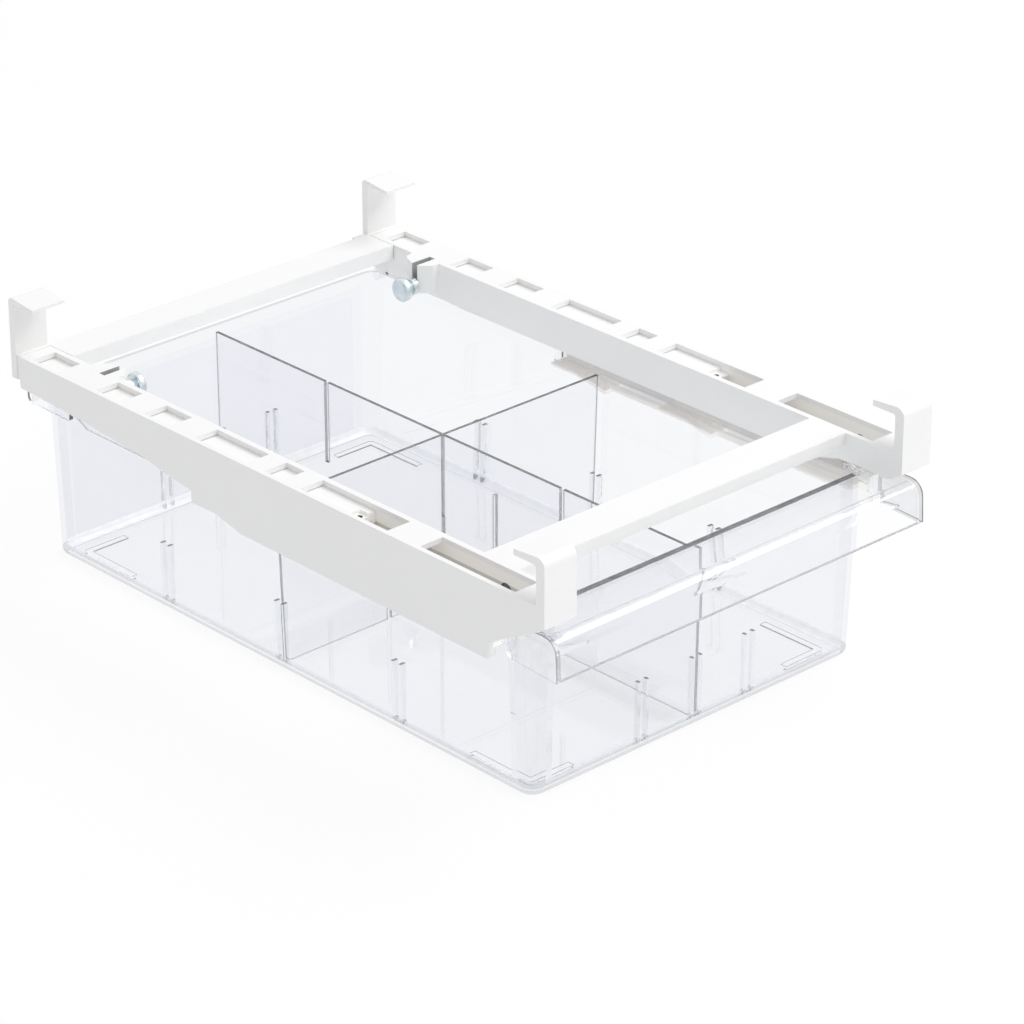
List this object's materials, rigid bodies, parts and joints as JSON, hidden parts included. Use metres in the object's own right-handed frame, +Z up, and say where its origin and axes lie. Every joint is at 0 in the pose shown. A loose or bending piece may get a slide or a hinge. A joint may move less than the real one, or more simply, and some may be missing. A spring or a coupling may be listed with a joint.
{
  "type": "fridge drawer organizer",
  "caption": "Clear pull-out bin with a hood handle and crossed dividers, sliding in a white frame that hooks under a refrigerator shelf.",
  "frame": {"origin": "under the middle of the bounding box, at the level of the bin's feet", "axes": "+X to the object's right seen from the front, +Y to the rear, +Z up"},
  "size_m": [0.2032, 0.3118, 0.1175],
  "materials": {
    "white_plastic": "smooth white moulded plastic, low gloss",
    "clear_plastic": "clear, colourless, polished moulded plastic",
    "zinc_plated_steel": "bright zinc plate with a pale blue tint"
  },
  "bodies": {
    "frame": {"front_frame": "white_plastic", "left_clamp_nut": "zinc_plated_steel", "right_clamp_nut": "zinc_plated_steel"},
    "slider": {"rear_slider": "white_plastic"},
    "drawer": {"drawer_bin": "clear_plastic"},
    "lengthwise_divider": {"long_divider": "clear_plastic"},
    "crosswise_divider": {"cross_divider": "clear_plastic"},
    "left_screw": {"left_thumbscrew": "zinc_plated_steel"},
    "right_screw": {"right_thumbscrew": "zinc_plated_steel"}
  },
  "joints": [
    {"name": "drawer_slide", "type": "slide", "parent": "frame", "child": "drawer", "axis": [0, -1, 0], "range_m": [0, 0.245]},
    {"name": "rear_extension", "type": "slide", "parent": "frame", "child": "slider", "axis": [0, 1, 0], "range_m": [0, 0.08]},
    {"name": "left_screw_turn", "type": "hinge", "parent": "frame", "child": "left_screw", "pos_m": [-0.0695, 0.1144, 0.0835], "axis": [1, 0, 0], "range_deg": [0, 720]},
    {"name": "right_screw_turn", "type": "hinge", "parent": "frame", "child": "right_screw", "pos_m": [0.0695, 0.1144, 0.0835], "axis": [-1, 0, 0], "range_deg": [0, 720]},
    {"name": "long_divider_lift", "type": "slide", "parent": "drawer", "child": "lengthwise_divider", "axis": [0, 0, 1], "range_m": [0, 0.012]},
    {"name": "cross_divider_lift", "type": "slide", "parent": "lengthwise_divider", "child": "crosswise_divider", "axis": [0, 0, 1], "range_m": [0, 0.1]}
  ]
}
